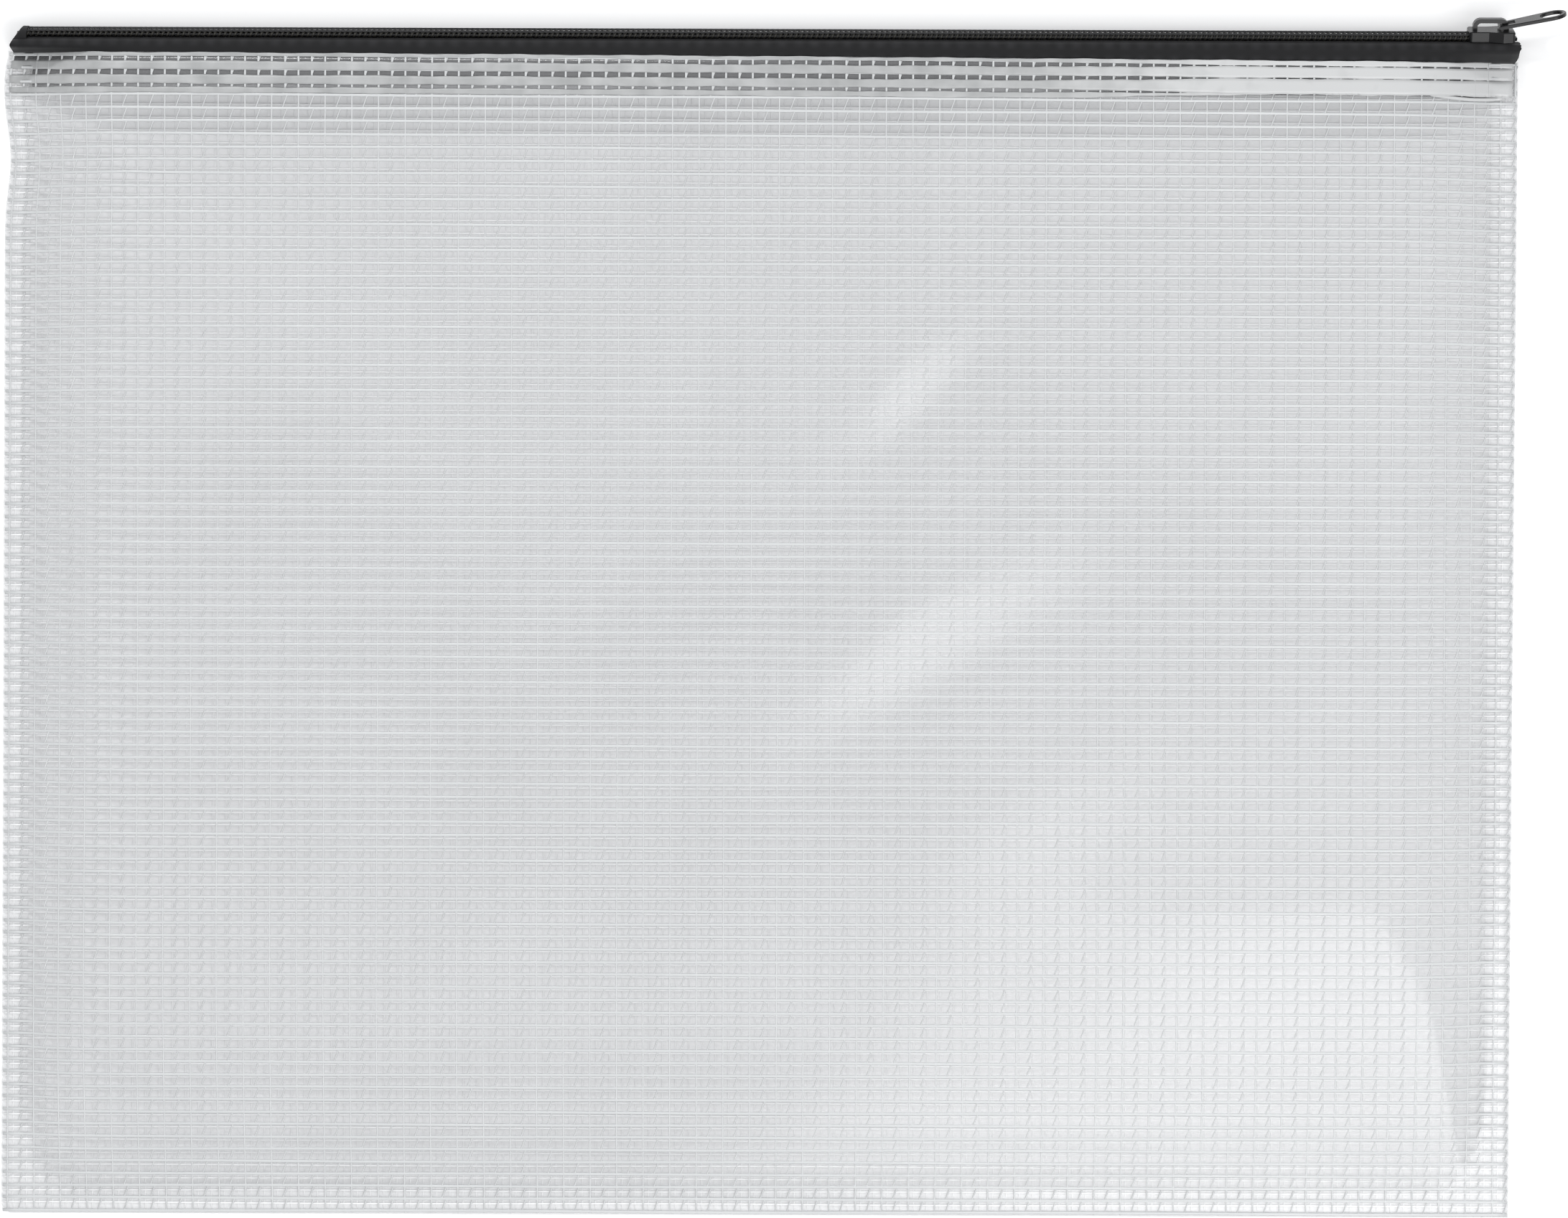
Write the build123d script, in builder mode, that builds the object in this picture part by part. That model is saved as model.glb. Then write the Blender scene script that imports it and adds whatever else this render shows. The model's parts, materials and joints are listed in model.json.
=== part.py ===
"""Zip document wallet: two mesh-reinforced films welded on three sides, closed by a coil zip.

Millimetres. The origin is the middle of the back film's outer face. +X runs along the zip
towards the closed end, +Y points from the bottom weld to the zip, and +Z is up from the table.
"""

import os
from math import cos, floor, radians, sin, sqrt

from build123d import *

os.makedirs("parts", exist_ok=True)

# Film panels
film_width = 350.0  # side edge to side edge
film_height = 268.0  # bottom edge to the edge that the zip is welded to
film = 0.35  # thickness of one film
weld = 5.0  # width of the welded rim along the sides and the bottom
corner_radius = 1.7  # the left bottom corner, the right one is cut square

# How the front film lifts off the back one
side_run = 28.0  # it climbs from each side weld over this width
bottom_run = 70.0  # and from the bottom weld over about this length
fold_rise = 0.6  # that climb would end this much higher, so it meets the top in a soft fold

# Zip tapes
tape = 0.5  # thickness of the woven tape
tape_flap = 8.0  # how far each tape runs in beyond the film's edge
flap_inset = 1.5  # the flaps stop this far short of the side welds
exposed = 5.0  # from the film's edge to the line where the teeth meet
zip_lean = 20.0  # degrees that the teeth's face is turned up from level
strip_short = 1.0  # the zip stops this far inside the left edge
strip_past = 1.0  # and this far past the right edge

# Coils, wound from plastic wire beside a cord that is sewn to the tape
coil_pitch = 1.2
coil_height = 1.6
coil_reach = 0.7  # each head passes the meeting line by this much
coil_inset = 1.0  # first turn from the left end of the tape
head_back = 0.3  # from the tip of a head to its widest place
head_half = 0.30
tip_half = 0.16
neck_half = 0.15
cord_width = 0.75
cord_height = 1.2
cord_round = 0.3
cord_inset = 0.1  # cord from the inner edge of its tape

# Slider body
slider_length = 10.6
slider_from_edge = 5.4  # slider's middle from the right edge of the film
slider_clear = 0.2  # running gap between the slider and what it slides over
wing = 0.8  # thickness of its two plates
wing_round = 0.7
flange = 0.65  # walls that hold the coils in
flare = 0.85  # the two-mouthed end is wider than the other by this, on each side
flare_start = -0.8  # along the slider, from its middle
flare_end = 2.6
nose_taper = 0.5  # the shoulders draw in again to the two-mouthed end by this
post_half = 1.0  # wedge that parts the coils
post_clear = 0.25  # between the wedge and the tapes
post_rear = 0.6
post_widest = 3.0
post_nose = 0.3  # the wedge stops this far inside the two-mouthed end
post_nose_half = 0.4
bridge_width = 1.7
bridge_rear = -4.3
bridge_front = 4.0
bridge_thick = 1.0
cast_edge = 0.2  # bevel round the casting's plates

# Pull tab
bar_radius = 0.55  # round bar that turns under the bridge
bar_clear = 0.25
pull_thick = 0.8
pull_reach = 15.3  # bar to tip
pull_tail = 0.5  # the arms run on behind the bar by this much
pull_arm = 1.05  # width of each arm beside the bridge
eye_clear = 0.3  # between the arms and the bridge
pull_wide_half = 3.2  # half width at the round end
hole_length = 5.2
hole_width = 4.2
hole_rim = 0.9  # from the hole to the tip
pull_rest = 12.0  # degrees that the tab stands up from the zip
pull_open = 135.0  # degrees at which it would meet the bridge
pull_edge = 0.15  # bevel round the outer face of the stamped tab

# Places that follow from the film's sizes
mouth_y = film_height / 2
seam_x = film_width / 2 - weld
seam_y = weld - film_height / 2
pocket_length = mouth_y - seam_y
plateau_x = seam_x - side_run
plateau_y = seam_y + bottom_run
flap_x = seam_x - flap_inset
strip_left = strip_short - film_width / 2
strip_right = strip_past + film_width / 2

# Across the zip, from the line where the teeth meet
tape_inner = post_half + post_clear
cord_inner = tape_inner + cord_inset
cord_outer = cord_inner + cord_width
rear_half = cord_outer + slider_clear + flange
slider_half = rear_half + flare
nose_half = slider_half - nose_taper
tape_flat = slider_half + slider_clear

# Out of the zip's face, from the middle of the tape
under_wing_top = -(tape / 2 + slider_clear)
flange_low = tape / 2 + slider_clear
top_wing_low = tape / 2 + coil_height + slider_clear
top_wing_top = top_wing_low + wing
bar_n = top_wing_top + bar_clear + bar_radius
bridge_gap = bar_n + bar_radius + bar_clear
bridge_top = bridge_gap + bridge_thick
bridge_inner = bar_radius + bar_clear  # the arch curves round the bar
bridge_outer = bridge_inner + bridge_thick
tape_bend = tape / 2 + slider_clear + wing  # leaves room for the slider's lower plate

# Where the zip lies: the back tape rests on the back film, the front one lifts the front film
lean = radians(zip_lean)
chain_y = mouth_y + exposed
chain_z = film + tape / 2 + tape_flat * cos(lean) + tape_bend * (1 + sin(lean))
gusset_y = chain_y - tape_flat * sin(lean) - tape_bend * cos(lean) - slider_clear
pocket_height = 2 * (tape_flat * cos(lean) + tape_bend) + tape
pocket_top = film + pocket_height
pocket_under = -2 * pocket_height  # a level below everything
side_radius = (side_run**2 + pocket_height**2) / (2 * pocket_height)
flap_drop = side_radius - sqrt(side_radius**2 - (flap_x - plateau_x) ** 2)

# The zip's own directions: side runs across the teeth to the front, face points out of them
along = Vector(1, 0, 0)
side = Vector(0, -sin(lean), cos(lean))
face = Vector(0, cos(lean), sin(lean))
chain = Vector(0, chain_y, chain_z)
chain_plane = Plane(origin=chain, x_dir=along, z_dir=face)

# Slider and pull tab
slider_x = film_width / 2 - slider_from_edge
slider_middle = chain + along * slider_x
slider_rear = -slider_length / 2
slider_front = slider_length / 2
slider_plane = Plane(origin=slider_middle, x_dir=along, z_dir=face)
bridge_plane = Plane(origin=slider_middle, x_dir=along, z_dir=side)
bar_s = bridge_front - bridge_thick - bar_clear - bar_radius
bar_middle = slider_middle + along * bar_s + face * bar_n
rest_turn = radians(pull_rest)
open_turn = radians(pull_open)
tab = along * cos(rest_turn) + face * sin(rest_turn)
tab_up = face * cos(rest_turn) - along * sin(rest_turn)
tab_plane = Plane(origin=bar_middle, x_dir=tab, z_dir=tab_up)
bar_plane = Plane(origin=bar_middle, x_dir=along, z_dir=side)
eye_half = bridge_width / 2 + eye_clear
eye_lift = bridge_top + bar_clear - bar_n - pull_thick / 2 * cos(open_turn)
eye_reach = eye_lift / sin(open_turn)  # the tab's plate starts beyond the bridge
coil_right = slider_x + post_rear - slider_clear
coil_left = strip_left + coil_inset


def film_outline():
    """Outline of one film."""
    with BuildSketch() as outline:
        with BuildLine():
            FilletPolyline(
                (film_width / 2, mouth_y),
                (-film_width / 2, mouth_y),
                (-film_width / 2, -mouth_y),
                (film_width / 2, -mouth_y),
                radius=[0, 0, corner_radius, 0],
                close=True,
            )
        make_face()
    return outline.sketch


def pocket_block(lift):
    """All that lies under the front film's inner face, with that face raised by lift."""
    low = film + lift
    high = pocket_top + lift
    crest = high + fold_rise
    with BuildPart() as block:
        with BuildSketch(Plane(origin=(0, mouth_y, 0), x_dir=along, z_dir=(0, -1, 0))):
            with BuildLine():
                Line((-plateau_x, high), (plateau_x, high))
                TangentArc((plateau_x, high), (seam_x, low), tangent=(1, 0))
                Polyline((seam_x, low), (seam_x, pocket_under), (-seam_x, pocket_under), (-seam_x, low))
                TangentArc((-plateau_x, high), (-seam_x, low), tangent=(-1, 0))
            make_face()
        extrude(amount=pocket_length)
        with BuildSketch(Plane.YZ):
            with BuildLine():
                Line((mouth_y, crest), (plateau_y, crest))
                TangentArc((plateau_y, crest), (seam_y, low), tangent=(-1, 0))
                Polyline((seam_y, low), (seam_y, pocket_under), (mouth_y, pocket_under), (mouth_y, crest))
            make_face()
        extrude(amount=seam_x, both=True, mode=Mode.INTERSECT)
    return block.part


def chain_point(across, out):
    """Point of the zip's cross-section as (Y, Z), from the line where the teeth meet."""
    place = chain + side * across + face * out
    return (place.Y, place.Z)


def tape_section(hand, turn, end_y, outer_side):
    """Cross-section of one tape: flat beside the teeth, then bent until it is level."""
    start = chain_point(hand * tape_inner, -tape / 2)
    stop = chain_point(hand * tape_flat, -tape / 2)
    with BuildSketch() as section:
        with BuildLine():
            flat = Line(start, stop)
            bend = JernArc(flat @ 1, flat % 1, radius=tape_bend - tape / 2, arc_size=turn)
            Line(bend @ 1, (end_y, (bend @ 1).Y))
            offset(amount=tape, side=outer_side)
        make_face()
    return section.sketch


def coil_turns(hand, first):
    """One coil: every turn is a head that fits between two heads of the other coil."""
    count = floor((coil_right - first) / coil_pitch) + 1
    places = [(first + turn * coil_pitch, 0) for turn in range(count)]
    widest = head_back - coil_reach
    outline = [
        (neck_half, cord_inner),
        (head_half, widest),
        (tip_half, -coil_reach),
        (-tip_half, -coil_reach),
        (-head_half, widest),
        (-neck_half, cord_inner),
    ]
    with BuildSketch() as turns:
        with Locations(*places):
            Polygon(*[(x, -hand * across) for x, across in outline], align=None)
    return turns.sketch


def cord_section(hand):
    """Cord that one coil is sewn along, on the inner edge of its tape."""
    middle = chain_point(hand * (cord_inner + cord_width / 2), tape / 2 + cord_height / 2)
    with BuildSketch() as section:
        with Locations(Location((*middle, 0), (0, 0, 90 + zip_lean))):
            RectangleRounded(cord_width, cord_height, cord_round)
    return section.sketch


def wing_outline():
    """Slider seen from above: straight behind, flared to its two mouths in front."""
    half = [
        (slider_rear, rear_half),
        (flare_start, rear_half),
        (flare_end, slider_half),
        (slider_front, nose_half),
    ]
    with BuildSketch() as outline:
        with BuildLine():
            FilletPolyline(*half, *[(x, -y) for x, y in reversed(half)], radius=wing_round, close=True)
        make_face()
    return outline.sketch


def channel_outline():
    """Room between the slider's flanges, open at both ends."""
    half = [
        (2 * slider_rear, rear_half - flange),
        (flare_start, rear_half - flange),
        (flare_end, slider_half - flange),
        (2 * slider_front, slider_half - flange),
    ]
    with BuildSketch() as outline:
        with BuildLine():
            Polyline(*half, *[(x, -y) for x, y in reversed(half)], close=True)
        make_face()
    return outline.sketch


# Back film, flat on the table
with BuildPart() as back_panel:
    with BuildSketch(Plane.XY):
        add(film_outline())
    extrude(amount=film)
back_panel.part.label = "back_panel"
export_step(back_panel.part, "parts/back_panel.step")

# Front film: a rim welded flat on three sides round a pocket that the zip holds open
with BuildPart() as front_panel:
    add(pocket_block(film))
    add(pocket_block(0), mode=Mode.SUBTRACT)
    with BuildSketch(Plane.XY.offset(film)):
        add(film_outline())
        with Locations((0, mouth_y - pocket_length / 2)):
            Rectangle(2 * seam_x, pocket_length, mode=Mode.SUBTRACT)
    extrude(amount=film)
front_panel.part.label = "front_panel"
export_step(front_panel.part, "parts/front_panel.step")

# Back tape: on the back film, then bent up to the teeth. Its corners clear the side welds
with BuildPart() as back_zip_tape:
    with BuildSketch(Plane.YZ.offset(strip_left)):
        add(tape_section(-1, -(90 + zip_lean), mouth_y - tape_flap, Side.LEFT))
    extrude(amount=strip_right - strip_left)
    with BuildSketch(Plane.XY):
        with Locations((0, mouth_y - tape_flap)):
            Rectangle(4 * film_width, 2 * tape_flap)
            Rectangle(2 * flap_x, 4 * tape_flap, mode=Mode.SUBTRACT)
    extrude(amount=pocket_height, mode=Mode.SUBTRACT)
back_zip_tape.part.label = "back_zip_tape"
export_step(back_zip_tape.part, "parts/back_zip_tape.step")

# At the zip's ends the front tape twists from the film's climb to the level strip by the teeth
end_twists = []
for hand in (1, -1):
    at_film = TangentArc(
        (hand * plateau_x, mouth_y, pocket_top),
        (hand * flap_x, mouth_y, pocket_top - flap_drop),
        tangent=(hand, 0, 0),
    )
    at_strip = Line((hand * plateau_x, gusset_y, pocket_top), (hand * flap_x, gusset_y, pocket_top))
    end_twists.append(Face.make_surface_from_curves(at_film.edge(), at_strip.edge()))

# Front tape: a flap that follows the film's inner face, then a level strip beside the teeth
with BuildPart() as front_zip_tape:
    add(pocket_block(0))
    add(pocket_block(-tape), mode=Mode.SUBTRACT)
    with Locations((0, mouth_y - tape_flap / 2, 0)):
        Box(2 * flap_x, tape_flap, 4 * pocket_height, mode=Mode.INTERSECT)
    with Locations((0, (mouth_y + gusset_y) / 2, pocket_top - tape / 2)):
        Box(2 * plateau_x, gusset_y - mouth_y, tape)
    extrude(end_twists, amount=tape, dir=(0, 0, -1))
    with BuildSketch(Plane.YZ.offset(strip_left)):
        add(tape_section(1, 90 - zip_lean, gusset_y, Side.RIGHT))
    extrude(amount=strip_right - strip_left)
front_zip_tape.part.label = "front_zip_tape"
export_step(front_zip_tape.part, "parts/front_zip_tape.step")

# Coils: the back one stands half a pitch along, so the heads mesh
with BuildPart() as front_coil:
    with BuildSketch(chain_plane.offset(tape / 2)):
        add(coil_turns(1, coil_left))
    extrude(amount=coil_height)
front_coil.part.label = "front_coil"
export_step(front_coil.part, "parts/front_coil.step")

with BuildPart() as back_coil:
    with BuildSketch(chain_plane.offset(tape / 2)):
        add(coil_turns(-1, coil_left + coil_pitch / 2))
    extrude(amount=coil_height)
back_coil.part.label = "back_coil"
export_step(back_coil.part, "parts/back_coil.step")

# Cords
with BuildPart() as front_coil_cord:
    with BuildSketch(Plane.YZ.offset(coil_left)):
        add(cord_section(1))
    extrude(amount=coil_right - coil_left)
front_coil_cord.part.label = "front_coil_cord"
export_step(front_coil_cord.part, "parts/front_coil_cord.step")

with BuildPart() as back_coil_cord:
    with BuildSketch(Plane.YZ.offset(coil_left)):
        add(cord_section(-1))
    extrude(amount=coil_right - coil_left)
back_coil_cord.part.label = "back_coil_cord"
export_step(back_coil_cord.part, "parts/back_coil_cord.step")

# Slider body: two plates joined by the wedge, flanges round the coils, and a bridge for the tab
with BuildPart() as slider_body:
    out_of_teeth = Axis(slider_middle, slider_plane.z_dir)
    with BuildSketch(slider_plane.offset(top_wing_low)):
        add(wing_outline())
    extrude(amount=wing)
    chamfer(slider_body.faces().sort_by(out_of_teeth)[-1].edges(), cast_edge)
    with BuildSketch(slider_plane.offset(under_wing_top)):
        add(wing_outline())
    extrude(amount=-wing)
    chamfer(slider_body.faces().sort_by(out_of_teeth)[0].edges(), cast_edge)
    with BuildSketch(slider_plane.offset(flange_low)):
        add(wing_outline())
        add(channel_outline(), mode=Mode.SUBTRACT)
    extrude(amount=top_wing_low - flange_low)
    with BuildSketch(slider_plane.offset(under_wing_top)):
        with BuildLine():
            Polyline(
                (post_rear, 0),
                (post_widest, post_half),
                (slider_front - post_nose, post_nose_half),
                (slider_front - post_nose, -post_nose_half),
                (post_widest, -post_half),
                close=True,
            )
        make_face()
    extrude(amount=top_wing_low - under_wing_top)
    with BuildSketch(bridge_plane):
        with BuildLine():
            FilletPolyline(
                (bridge_rear, top_wing_top),
                (bridge_rear, bridge_top),
                (bridge_front, bridge_top),
                (bridge_front, top_wing_top),
                radius=[0, bridge_outer, bridge_outer, 0],
                close=True,
            )
        make_face()
        with BuildLine():
            FilletPolyline(
                (bridge_rear + bridge_thick, top_wing_top),
                (bridge_rear + bridge_thick, bridge_gap),
                (bridge_front - bridge_thick, bridge_gap),
                (bridge_front - bridge_thick, top_wing_top),
                radius=[0, bridge_inner, bridge_inner, 0],
                close=True,
            )
        make_face(mode=Mode.SUBTRACT)
    extrude(amount=bridge_width / 2, both=True)
slider_body.part.label = "slider_body"
export_step(slider_body.part, "parts/slider_body.step")

# Pull tab: two arms straddle the bridge, a bar joins them under it
with BuildPart() as pull_tab:
    with BuildSketch(tab_plane):
        wide_x = pull_reach - pull_wide_half
        with BuildLine():
            Polyline(
                (wide_x, pull_wide_half),
                (-pull_tail, eye_half + pull_arm),
                (-pull_tail, -eye_half - pull_arm),
                (wide_x, -pull_wide_half),
            )
            ThreePointArc((wide_x, -pull_wide_half), (pull_reach, 0), (wide_x, pull_wide_half))
        make_face()
        with Locations((eye_reach / 2 - pull_tail, 0)):
            Rectangle(eye_reach + 2 * pull_tail, 2 * eye_half, mode=Mode.SUBTRACT)
        with Locations((pull_reach - hole_rim - hole_length / 2, 0)):
            SlotOverall(hole_length, hole_width, mode=Mode.SUBTRACT)
    extrude(amount=pull_thick / 2, both=True)
    out_of_tab = Axis(tab_plane.origin, tab_plane.z_dir)
    chamfer(pull_tab.faces().sort_by(out_of_tab)[-1].edges(), pull_edge)
    with BuildSketch(bar_plane):
        Circle(bar_radius)
    extrude(amount=eye_half + pull_arm / 2, both=True)
pull_tab.part.label = "pull_tab"
export_step(pull_tab.part, "parts/pull_tab.step")
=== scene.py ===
# %% [markdown]
# # A clear zip wallet
# The real wallet is two sheets of clear PVC with a net of white polyester yarn laminated inside, welded
# together round the edge, with a black coil zip along the top. The frame gives every piece its place and
# size. This lesson gives each piece the form and finish that the eye expects: slack film, yarn that stands
# a hair proud of it, a woven tape, coils of real wire and enamelled metal.

# %% Load the frame
import json
from math import atan2, cos, pi, radians, sin

import bpy
import numpy as np
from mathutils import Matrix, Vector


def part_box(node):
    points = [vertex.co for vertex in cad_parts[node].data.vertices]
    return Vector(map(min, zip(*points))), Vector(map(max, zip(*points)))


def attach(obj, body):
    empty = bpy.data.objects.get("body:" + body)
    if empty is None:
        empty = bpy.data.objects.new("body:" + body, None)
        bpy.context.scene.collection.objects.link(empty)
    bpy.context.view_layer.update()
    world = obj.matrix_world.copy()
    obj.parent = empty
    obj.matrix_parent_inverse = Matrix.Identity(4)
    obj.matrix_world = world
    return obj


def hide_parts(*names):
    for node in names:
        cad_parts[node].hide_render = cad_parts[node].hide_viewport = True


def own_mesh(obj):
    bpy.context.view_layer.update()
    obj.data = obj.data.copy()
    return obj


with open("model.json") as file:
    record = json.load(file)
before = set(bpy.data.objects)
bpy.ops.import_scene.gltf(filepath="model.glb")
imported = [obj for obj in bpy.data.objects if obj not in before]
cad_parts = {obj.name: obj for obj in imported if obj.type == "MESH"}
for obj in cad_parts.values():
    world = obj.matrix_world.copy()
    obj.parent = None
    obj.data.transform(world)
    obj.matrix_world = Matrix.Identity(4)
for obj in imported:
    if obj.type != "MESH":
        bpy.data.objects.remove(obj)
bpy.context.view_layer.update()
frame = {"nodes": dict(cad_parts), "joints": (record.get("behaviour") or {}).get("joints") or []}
MM = 0.001

# %% [markdown]
# ## Places from the frame
# The films' boxes give the wallet's outline. The tab's hinge gives the zip: its axis runs across the teeth,
# so the direction square to it and to the zip points straight out of the teeth. Every zip piece is then
# written in those directions: along the zip, across the teeth, and out of their face.

# %% Places from the frame
back_low, back_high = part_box("back_panel")
_, front_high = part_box("front_panel")
joints = {joint["name"]: joint for joint in frame["joints"]}
half_width = back_high.x
half_height = back_high.y
film = back_high.z - back_low.z
film_top = front_high.z

weld = 5.0 * MM  # flat rim where the two films are one
side_run = 28.0 * MM  # the front film climbs from the side welds over this width
bottom_run = 70.0 * MM
seam_x = half_width - weld
seam_y = weld - half_height

along = np.array([1.0, 0.0, 0.0])
across = np.array(joints["pull_swing"]["axis"])
out = np.array([0.0, across[2], -across[1]])
bar_out = 3.65 * MM  # the tab's bar stands this far out from the middle of the tape
chain = np.array(joints["pull_swing"]["pos_m"]) - bar_out * out
chain[0] = 0.0
lean = atan2(out[2], out[1])


def zip_point(x, v, n):
    """Points from distances along the zip, across the teeth and out of their face."""
    x, v, n = np.broadcast_arrays(x, v, n)
    return chain + x[..., None] * along + v[..., None] * across + n[..., None] * out


print("film", half_width * 2, half_height * 2, film, "zip line", chain, "lean", lean)

# %% [markdown]
# ## Tools for meshes
# Films, tapes and yarns are all grids that are bent into place, so one function turns rows of points into a
# closed skin, and another runs a round wire along a line. Arrays keep this quick: a film has thousands of
# points and the two nets have tens of thousands.


# %% Tools for meshes
def quads(rows, columns, start=0, round_rows=False, round_columns=False):
    """Corner numbers of a grid of points, joined up at its ends where it is round."""
    row = np.arange(rows if round_rows else rows - 1)
    column = np.arange(columns if round_columns else columns - 1)
    r, c = np.meshgrid(row, column, indexing="ij")
    r2 = (r + 1) % rows
    c2 = (c + 1) % columns
    corners = [r * columns + c, r2 * columns + c, r2 * columns + c2, r * columns + c2]
    return start + np.stack(corners, -1).reshape(-1, 4)


class Skin:
    """Points and faces of one piece, gathered grid by grid."""

    def __init__(self):
        self.points = []
        self.faces = []
        self.count = 0

    def add(self, points, faces):
        points = np.asarray(points, float).reshape(-1, 3)
        self.points.append(points)
        self.faces.extend((np.asarray(face) + self.count).tolist() for face in faces)
        self.count += len(points)

    def tubes(self, rings):
        """Tubes from rings of points: tube, ring, point on the ring. Each tube has two end caps."""
        tubes, count, sides, _ = rings.shape
        body = quads(count, sides, round_columns=True)
        first = np.arange(sides)
        last = (count - 1) * sides + np.arange(sides)[::-1]
        for tube in rings:
            self.add(tube, [*body, first, last])

    def slab(self, upper, lower):
        """A closed sheet between an upper and a lower grid of the same shape."""
        rows, columns, _ = upper.shape
        total = rows * columns
        rim = [r * columns for r in range(rows)]
        rim += [(rows - 1) * columns + c for c in range(1, columns)]
        rim += [r * columns + columns - 1 for r in range(rows - 2, -1, -1)]
        rim += list(range(columns - 2, 0, -1))
        faces = [face[::-1] for face in quads(rows, columns)]
        faces += list(quads(rows, columns, total))
        faces += [[a, b, b + total, a + total] for a, b in zip(rim, rim[1:] + rim[:1])]
        self.add(np.concatenate([upper.reshape(-1, 3), lower.reshape(-1, 3)]), faces)


def make_piece(name, skin, material, body):
    """A smooth mesh piece that rides on a body of the frame."""
    mesh = bpy.data.meshes.new(name)
    mesh.from_pydata(np.concatenate(skin.points).tolist(), [], skin.faces)
    mesh.validate()
    mesh.shade_smooth()
    mesh.materials.append(material)
    piece = bpy.data.objects.new(name, mesh)
    bpy.context.scene.collection.objects.link(piece)
    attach(piece, body)
    print(name, len(mesh.polygons), "faces")
    return piece


def wire_rings(line, radius, sides, guide):
    """Rings of a round wire along a line of points. guide is a direction that the line never follows."""
    ahead = np.gradient(line, axis=0)
    ahead /= np.linalg.norm(ahead, axis=1)[:, None]
    right = np.cross(ahead, guide)
    right /= np.linalg.norm(right, axis=1)[:, None]
    up = np.cross(right, ahead)
    turn = np.linspace(0, 2 * pi, sides, endpoint=False)
    circle = np.cos(turn)[None, :, None] * right[:, None] + np.sin(turn)[None, :, None] * up[:, None]
    return (line[:, None] + radius * circle)[None]


# %% [markdown]
# ## Tools for materials
# Colours are written as the hex values that a screen shows, and one function turns them to the linear
# values that the shader works in. One more adds a node, with its settings and links.


# %% Tools for materials
def linear(code):
    """Linear colour with full alpha from an sRGB hex value."""
    parts = [int(code[i : i + 2], 16) / 255 for i in (1, 3, 5)]
    return [c / 12.92 if c <= 0.04045 else ((c + 0.055) / 1.055) ** 2.4 for c in parts] + [1.0]


def add(tree, kind, inputs=None, **settings):
    """A new node. An input is a value, or a socket of another node to link from."""
    node = tree.nodes.new(kind)
    for key, value in settings.items():
        setattr(node, key, value)
    for key, value in (inputs or {}).items():
        if isinstance(value, bpy.types.NodeSocket):
            tree.links.new(value, node.inputs[key])
        else:
            node.inputs[key].default_value = value
    return node


def new_material(name):
    """An empty material: its node tree and its output."""
    material = bpy.data.materials.new(name)
    material.use_nodes = True
    tree = material.node_tree
    tree.nodes.clear()
    return material, tree, add(tree, "ShaderNodeOutputMaterial")


def blend_colours(tree, factor, dark, light):
    """Colour between two hex values. In this node, inputs 6 and 7 and output 2 are its colours."""
    inputs = {0: factor, 6: linear(dark), 7: linear(light)}
    return add(tree, "ShaderNodeMix", inputs, data_type="RGBA").outputs[2]


def per_mm(size):
    """Texture scale for a pattern of that size in millimetres, on coordinates in metres."""
    return 1.0 / (size * MM)


def wave_scale(size, direction="X"):
    """Scale of a wave texture with bands that many millimetres apart along X or Y."""
    radians_per_unit = 10.0 if direction == "DIAGONAL" else 20.0
    return 2 * pi * per_mm(size) / radians_per_unit


# %% [markdown]
# ## Calendered PVC film
# Clear PVC is rolled out hot between polished cylinders. It is never quite clear: it is a little grey and
# milky, most so where plasticiser has come to the surface, and its skin is glossy with a faint grain. Glass
# with refraction would be slow and noisy for so thin a sheet. So the haze is a pale surface with a low
# alpha, and the gloss is a separate mirror layer whose strength is the Fresnel value, because a plain alpha
# would thin the gloss out together with the haze. A film has two faces, so the haze is shared between them.
# The haze scatters light forwards, so it throws little shadow. It is milkier in bands along the cross
# yarns:
# partly because the film is thicker where it is drawn up over them, and partly as painted shading that
# stands in for the light and shade on the film's ribs. Where the film is pressed on the tape, no air is
# left under it, and it is clearer.


# %% Calendered PVC film
cross_pitch = 2.93 * MM  # from one cross yarn of the net to the next
first_cross = 0.65 * MM  # from the film's edge to the first one


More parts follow.
